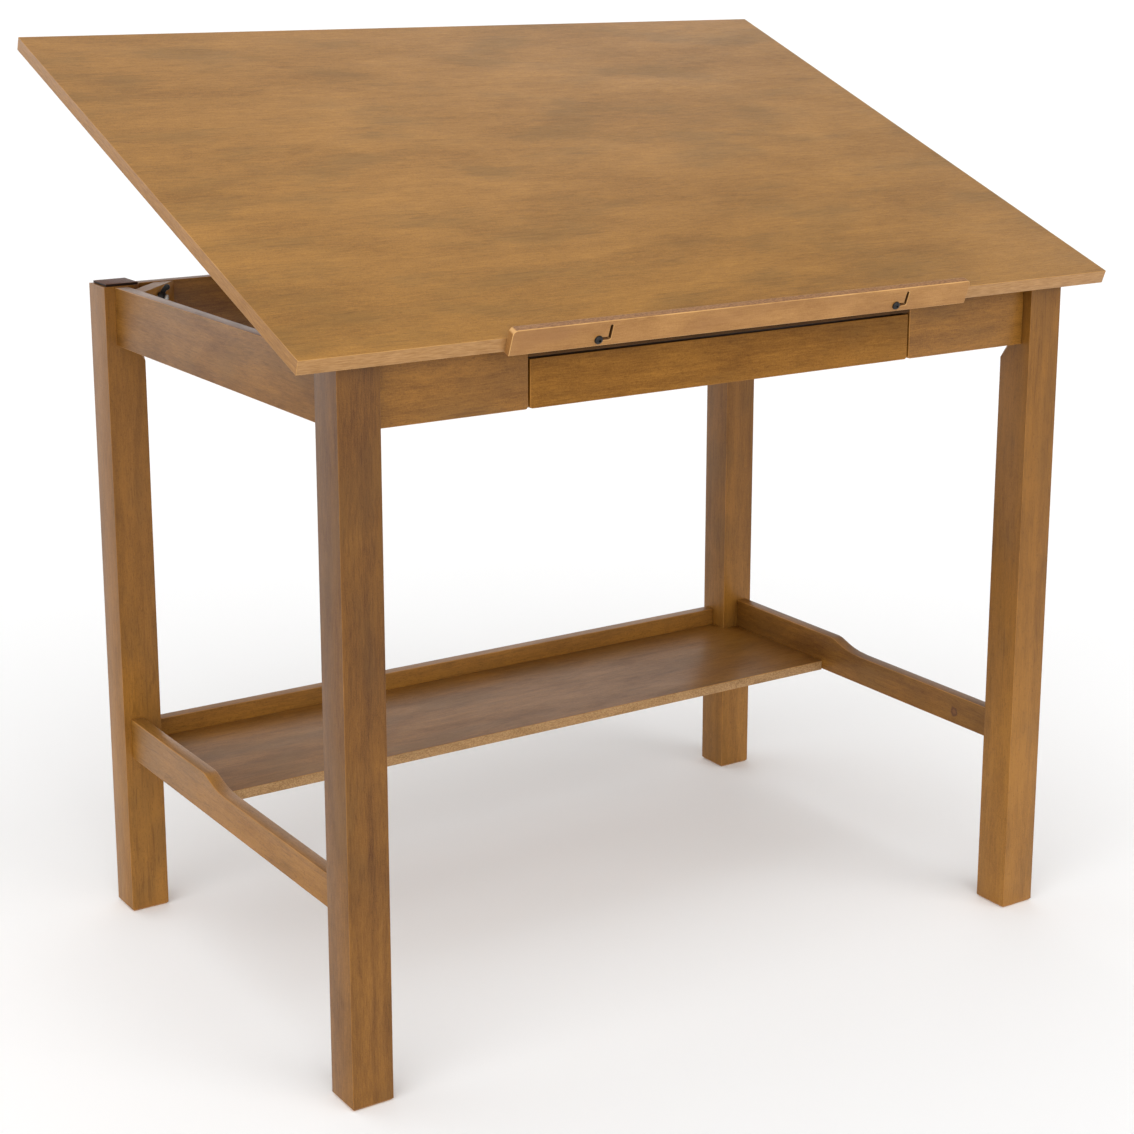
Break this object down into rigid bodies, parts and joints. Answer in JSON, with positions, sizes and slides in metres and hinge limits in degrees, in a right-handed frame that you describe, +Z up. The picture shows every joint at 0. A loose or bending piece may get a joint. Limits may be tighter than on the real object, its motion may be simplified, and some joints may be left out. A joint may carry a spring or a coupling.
{
  "type": "drafting table",
  "caption": "Four-legged wooden drafting table with a hinged top on clamped prop arms, a pencil ledge that drops on slots, a shallow drawer and a low shelf.",
  "frame": {"origin": "on the floor, at the middle of the table's overall width and depth with the top tilted to 21 degrees", "axes": "+X to the user's right, +Y from the user towards the back, +Z up"},
  "size_m": [1.067, 0.7309, 1.074],
  "materials": {
    "top": "stained veneer, satin lacquer",
    "frame": "stained hardwood, satin lacquer",
    "inner": "stained hardwood, thinly lacquered",
    "pad": "dark brown, satin",
    "black": "black, semi-gloss",
    "knob": "black, matt",
    "steel": "zinc plated"
  },
  "bodies": {
    "frame": {"leg_front_left": "frame", "corner_brace_front_left": "inner", "hanger_bolt_front_left": "steel", "wing_nut_front_left": "black", "leg_front_right": "frame", "corner_brace_front_right": "inner", "hanger_bolt_front_right": "steel", "wing_nut_front_right": "black", "leg_back_right": "frame", "corner_brace_back_right": "inner", "hanger_bolt_back_right": "steel", "wing_nut_back_right": "black", "leg_back_left": "frame", "corner_brace_back_left": "inner", "hanger_bolt_back_left": "steel", "wing_nut_back_left": "black", "apron_left": "frame", "apron_right": "frame", "apron_back": "frame", "apron_front_left": "frame", "apron_front_right": "frame", "drawer_top_rail": "frame", "leg_pad_left": "pad", "leg_pad_right": "pad", "stretcher_left": "frame", "stretcher_right": "frame", "shelf_board": "frame", "shelf_back_rail": "frame", "slotted_rail_left": "inner", "slotted_rail_right": "inner", "drawer_runner_left": "inner", "drawer_runner_right": "inner", "hinge_leaf_lower_left": "steel", "hinge_leaf_lower_right": "steel", "hinge_pin_left": "steel", "hinge_pin_right": "steel"},
    "lid": {"tabletop": "top", "hinge_leaf_upper_left": "steel", "hinge_leaf_upper_right": "steel", "prop_bracket_left": "black", "prop_bracket_right": "black", "prop_pin_left": "steel", "prop_pin_right": "steel", "ledge_screw_left": "black", "ledge_screw_right": "black"},
    "tilt_prop": {"prop_arm_left": "black", "prop_arm_right": "black", "prop_rod": "steel", "clamp_knob_left": "knob", "clamp_knob_right": "knob"},
    "ledge": {"pencil_ledge": "top"},
    "drawer": {"drawer_front": "frame", "drawer_side_left": "inner", "drawer_side_right": "inner", "drawer_back": "inner", "drawer_bottom": "inner"}
  },
  "joints": [
    {"name": "lid_tilt", "type": "hinge", "parent": "frame", "child": "lid", "pos_m": [0, -0.3329, 0.7883], "axis": [1, 0, 0], "range_deg": [-21, 24]},
    {"name": "prop_swing", "type": "hinge", "parent": "lid", "child": "tilt_prop", "pos_m": [0, -0.05993, 0.88623], "axis": [1, 0, 0], "range_deg": [-48, 42]},
    {"name": "ledge_slide", "type": "slide", "parent": "lid", "child": "ledge", "axis": [-0.7071, 0.2534, -0.6601], "range_m": [0, 0.0198]},
    {"name": "drawer_slide", "type": "slide", "parent": "frame", "child": "drawer", "axis": [0, -1, 0], "range_m": [0, 0.3]}
  ],
  "couplings": [
    {"joint": "prop_swing", "follows": "lid_tilt", "ratio": -2}
  ]
}
